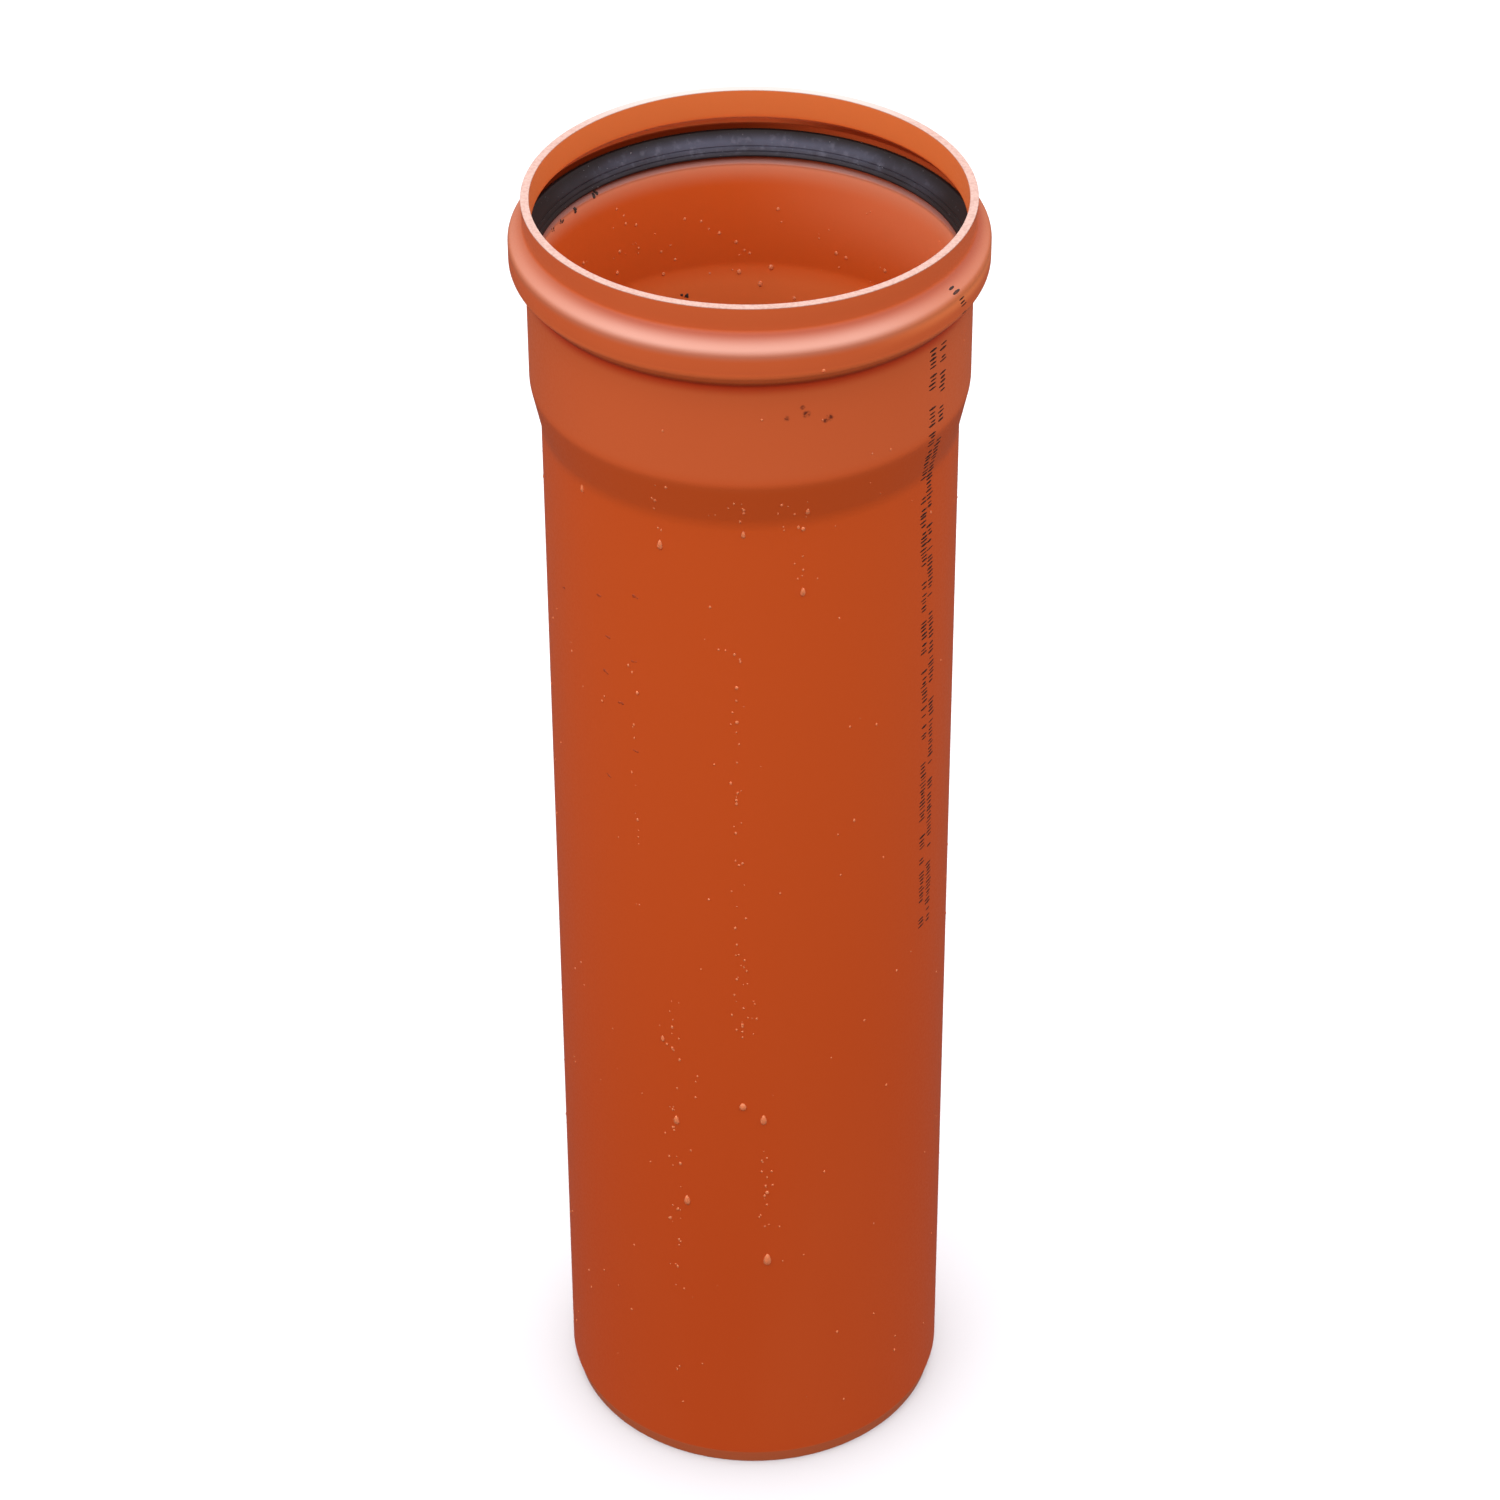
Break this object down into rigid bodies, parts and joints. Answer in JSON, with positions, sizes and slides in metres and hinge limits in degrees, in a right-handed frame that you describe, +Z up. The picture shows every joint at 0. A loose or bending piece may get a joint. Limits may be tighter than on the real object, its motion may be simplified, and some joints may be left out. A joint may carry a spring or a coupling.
{
  "type": "plastic drain pipe",
  "caption": "Short length of orange-brown plastic drain pipe standing upright: a chamfered spigot at the foot and a formed push-fit socket with a rubber lip ring at the top.",
  "frame": {"origin": "middle of the spigot's end face, on the floor that the pipe stands on", "axes": "+Z up along the pipe's axis, from the spigot to the socket's mouth; -Y faces the camera of the picture"},
  "size_m": [0.1803, 0.1804, 0.576],
  "materials": {
    "pipe": "satin, orange-brown, extruded",
    "seal_ring": "black, smooth moulded"
  },
  "bodies": {
    "root": {"pipe": "pipe", "seal_ring": "seal_ring"}
  },
  "joints": []
}
